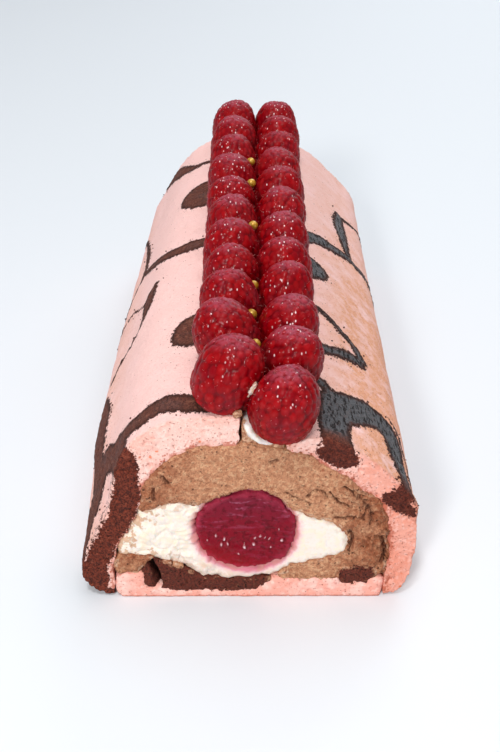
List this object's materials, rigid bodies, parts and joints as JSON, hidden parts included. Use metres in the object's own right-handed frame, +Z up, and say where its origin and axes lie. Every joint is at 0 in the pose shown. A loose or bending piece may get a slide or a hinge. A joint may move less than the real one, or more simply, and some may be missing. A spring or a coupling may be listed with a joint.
{
  "type": "yule log",
  "caption": "Yule log cake with cut ends: printed sponge jacket, mousse, cream and jelly core, raspberries along the top.",
  "frame": {"origin": "middle of the base, on the surface it rests on", "axes": "+Z up, +Y along the log away from the first cut end, +X to the right of someone facing that end"},
  "size_m": [0.0968, 0.2246, 0.0829],
  "materials": {
    "pink_sponge": "soft matte sponge",
    "cocoa_sponge": "crumbly matte sponge",
    "chocolate_mousse": "matte, finely aerated",
    "vanilla_cream": "satin cream",
    "raspberry_jelly": "wet gloss",
    "raspberry": "velvety fruit skin",
    "gold_sugar": "pearly gold sugar"
  },
  "bodies": {
    "root": {"chocolate_mousse": "chocolate_mousse", "chocolate_mousse_foot": "chocolate_mousse", "cocoa_sponge_bit": "cocoa_sponge", "cocoa_sponge_strip": "cocoa_sponge", "gold_pearl_1": "gold_sugar", "gold_pearl_2": "gold_sugar", "gold_pearl_3": "gold_sugar", "gold_pearl_4": "gold_sugar", "gold_pearl_5": "gold_sugar", "gold_pearl_6": "gold_sugar", "raspberry_jelly": "raspberry_jelly", "raspberry_left_01": "raspberry", "raspberry_left_02": "raspberry", "raspberry_left_03": "raspberry", "raspberry_left_04": "raspberry", "raspberry_left_05": "raspberry", "raspberry_left_06": "raspberry", "raspberry_left_07": "raspberry", "raspberry_left_08": "raspberry", "raspberry_left_09": "raspberry", "raspberry_left_10": "raspberry", "raspberry_left_11": "raspberry", "raspberry_right_01": "raspberry", "raspberry_right_02": "raspberry", "raspberry_right_03": "raspberry", "raspberry_right_04": "raspberry", "raspberry_right_05": "raspberry", "raspberry_right_06": "raspberry", "raspberry_right_07": "raspberry", "raspberry_right_08": "raspberry", "raspberry_right_09": "raspberry", "raspberry_right_10": "raspberry", "raspberry_right_11": "raspberry", "raspberry_right_12": "raspberry", "seam_cream": "vanilla_cream", "sponge_base": "pink_sponge", "sponge_jacket_left": "pink_sponge", "sponge_jacket_right": "pink_sponge", "vanilla_cream": "vanilla_cream"}
  },
  "joints": []
}
